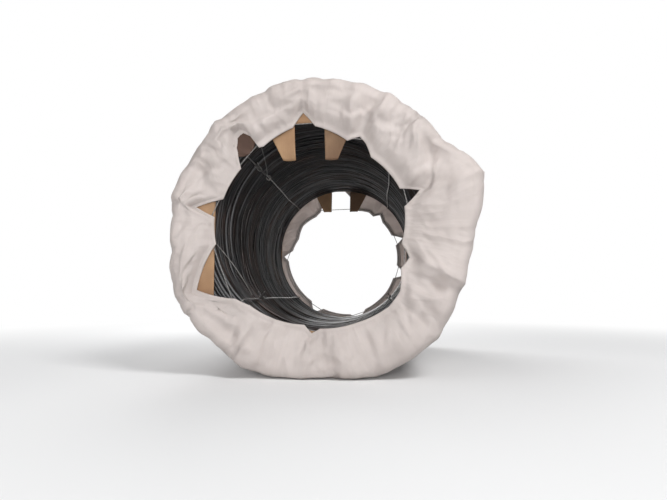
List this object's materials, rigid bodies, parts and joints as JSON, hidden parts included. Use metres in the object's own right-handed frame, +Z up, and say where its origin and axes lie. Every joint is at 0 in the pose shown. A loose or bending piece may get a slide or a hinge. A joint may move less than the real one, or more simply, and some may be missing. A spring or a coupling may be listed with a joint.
{
  "type": "wrapped coil of wire rod",
  "caption": "Round coil of steel wire rod lying on its side, tied with wires, boarded at both ends and wrapped in white woven fabric gathered at the open bore.",
  "frame": {"origin": "on the wrap's flat underside, below the middle of the coil", "axes": "+Y along the coil's axis, away from the front end; +Z up; +X to the right as seen from the front"},
  "size_m": [1.2962, 1.51, 1.2187],
  "materials": {
    "rod_steel": "satin",
    "tie_wire": "satin",
    "end_board": "matte",
    "woven_fabric": "matte",
    "cord": "matte"
  },
  "bodies": {
    "root": {"rod_coil": "rod_steel", "tie_upper_right": "tie_wire", "tie_upper_left": "tie_wire", "tie_lower_left": "tie_wire", "tie_lower_right": "tie_wire", "board_front_top": "end_board", "board_front_left": "end_board", "board_front_bottom": "end_board", "board_front_right": "end_board", "board_rear_top": "end_board", "board_rear_left": "end_board", "board_rear_bottom": "end_board", "board_rear_right": "end_board", "woven_wrap": "woven_fabric", "drawstring_front": "cord", "drawstring_rear": "cord"}
  },
  "joints": []
}
